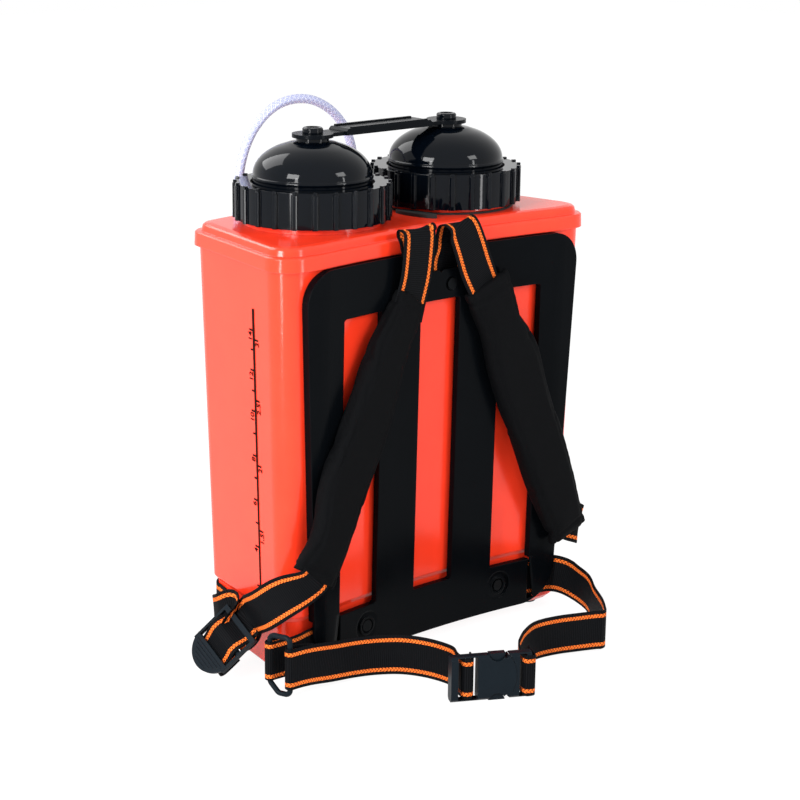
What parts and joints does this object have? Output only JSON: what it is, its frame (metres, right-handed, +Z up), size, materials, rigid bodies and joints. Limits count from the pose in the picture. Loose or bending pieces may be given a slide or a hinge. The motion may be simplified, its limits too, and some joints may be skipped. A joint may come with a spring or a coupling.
{
  "type": "backpack sprayer",
  "caption": "Orange backpack sprayer tank with two black domed screw caps, a back frame, shoulder pads, a waist belt, a hose and a hand pump.",
  "frame": {"origin": "on the floor under the tank, midway between its sides", "axes": "+Z up; -Y towards the wearer's side with the back frame and harness; +X to the right of someone looking at that side"},
  "size_m": [0.4698, 0.3631, 0.5091],
  "materials": {
    "orange_tank": "gloss",
    "black_gloss": "gloss",
    "black_satin": "satin",
    "frame_black": "satin",
    "lock_black": "satin",
    "foot_rubber": "matte",
    "seal_rubber": "matte",
    "grip_rubber": "matte",
    "white_basket": "matte",
    "screw_steel": "brushed",
    "clamp_steel": "brushed",
    "insert_brass": "machined",
    "webbing": "matte",
    "pad_fabric": "matte",
    "braided_hose": "gloss",
    "pump_grey": "satin",
    "ball_glass": "polished",
    "pump_brass": "brushed",
    "nozzle_orange": "gloss"
  },
  "bodies": {
    "tank": {"back_frame": "frame_black", "base_strap": "webbing", "buckle_socket": "lock_black", "cap_leash": "foot_rubber", "clip_screws": "screw_steel", "frame_inserts": "insert_brass", "frame_screws": "screw_steel", "hose": "braided_hose", "hose_clamps": "clamp_steel", "hose_clips": "frame_black", "left_belt_anchor": "webbing", "left_belt_front": "webbing", "left_lower_webbing": "webbing", "left_shoulder_pad": "pad_fabric", "left_shoulder_webbing": "webbing", "left_strainer": "white_basket", "lid_seal": "seal_rubber", "outlet_elbow": "black_satin", "outlet_nut": "black_satin", "outlet_washer": "seal_rubber", "pump_clips": "frame_black", "pump_inner_tube": "pump_grey", "pump_piston_seal": "seal_rubber", "pump_rear_grip": "grip_rubber", "right_belt": "webbing", "right_lower_webbing": "webbing", "right_shoulder_pad": "pad_fabric", "right_shoulder_webbing": "webbing", "right_strainer": "white_basket", "rubber_feet": "foot_rubber", "strap_anchor_plate": "frame_black", "suction_strainer": "white_basket", "tank_lid": "orange_tank", "tank_tub": "orange_tank", "vent_valve": "foot_rubber"},
    "cap_set": {"left_dome": "black_gloss", "right_dome": "black_gloss", "left_cap_gasket": "seal_rubber", "right_cap_gasket": "seal_rubber", "carry_handle": "black_satin", "handle_screws": "screw_steel", "handle_buttons": "black_gloss"},
    "left_nut": {"left_collar": "black_gloss"},
    "right_nut": {"right_collar": "black_gloss"},
    "buckle_plug": {"buckle_plug": "lock_black", "buckle_prongs": "lock_black"},
    "left_lock": {"left_ladder_lock": "lock_black"},
    "right_lock": {"right_ladder_lock": "lock_black"},
    "ring": {"left_d_ring": "lock_black"},
    "pump_slide": {"pump_barrel": "pump_brass", "pump_gland_nut": "black_satin", "pump_front_grip": "grip_rubber"},
    "nozzle": {"nozzle_cap": "nozzle_orange"},
    "outlet_ball": {"pump_outlet_ball": "ball_glass"},
    "inlet_ball": {"pump_inlet_ball": "ball_glass"}
  },
  "joints": [
    {"name": "cap_set_lift", "type": "slide", "parent": "tank", "child": "cap_set", "axis": [0, 0, 1], "range_m": [0, 0.1]},
    {"name": "left_collar_turn", "type": "hinge", "parent": "cap_set", "child": "left_nut", "pos_m": [-0.0827, 0.0146, 0.43], "axis": [0, 0, 1], "continuous": true},
    {"name": "right_collar_turn", "type": "hinge", "parent": "cap_set", "child": "right_nut", "pos_m": [0.0827, 0.0146, 0.43], "axis": [0, 0, 1], "continuous": true},
    {"name": "buckle_plug_slide", "type": "slide", "parent": "tank", "child": "buckle_plug", "axis": [0.8802, -0.4747, 0], "range_m": [0, 0.03], "deforming": ["right_belt", "buckle_prongs"]},
    {"name": "left_lock_tilt", "type": "hinge", "parent": "tank", "child": "left_lock", "pos_m": [-0.21166, -0.01896, 0.04229], "axis": [0, -0.8751, -0.484], "range_deg": [0, 15], "deforming": ["left_lower_webbing", "base_strap"]},
    {"name": "right_lock_tilt", "type": "hinge", "parent": "tank", "child": "right_lock", "pos_m": [0.20966, 0.00904, 0.04329], "axis": [0, 0.8751, 0.484], "range_deg": [0, 15], "deforming": ["right_lower_webbing"]},
    {"name": "d_ring_swing", "type": "hinge", "parent": "tank", "child": "ring", "pos_m": [-0.199, -0.067, 0.03], "axis": [0, 0, 1], "range_deg": [-15, 15], "deforming": ["left_belt_front", "left_belt_anchor"]},
    {"name": "pump_stroke", "type": "slide", "parent": "tank", "child": "pump_slide", "axis": [0, 0, 1], "range_m": [0, 0.09]},
    {"name": "nozzle_turn", "type": "hinge", "parent": "pump_slide", "child": "nozzle", "pos_m": [0.146, 0.118, 0.4], "axis": [0, 0, 1], "range_deg": [0, 270]},
    {"name": "outlet_ball_lift", "type": "slide", "parent": "pump_slide", "child": "outlet_ball", "axis": [0, 0, 1], "range_m": [0, 0.0006]},
    {"name": "inlet_ball_lift", "type": "slide", "parent": "tank", "child": "inlet_ball", "axis": [0, 0, 1], "range_m": [0, 0.0006]}
  ]
}
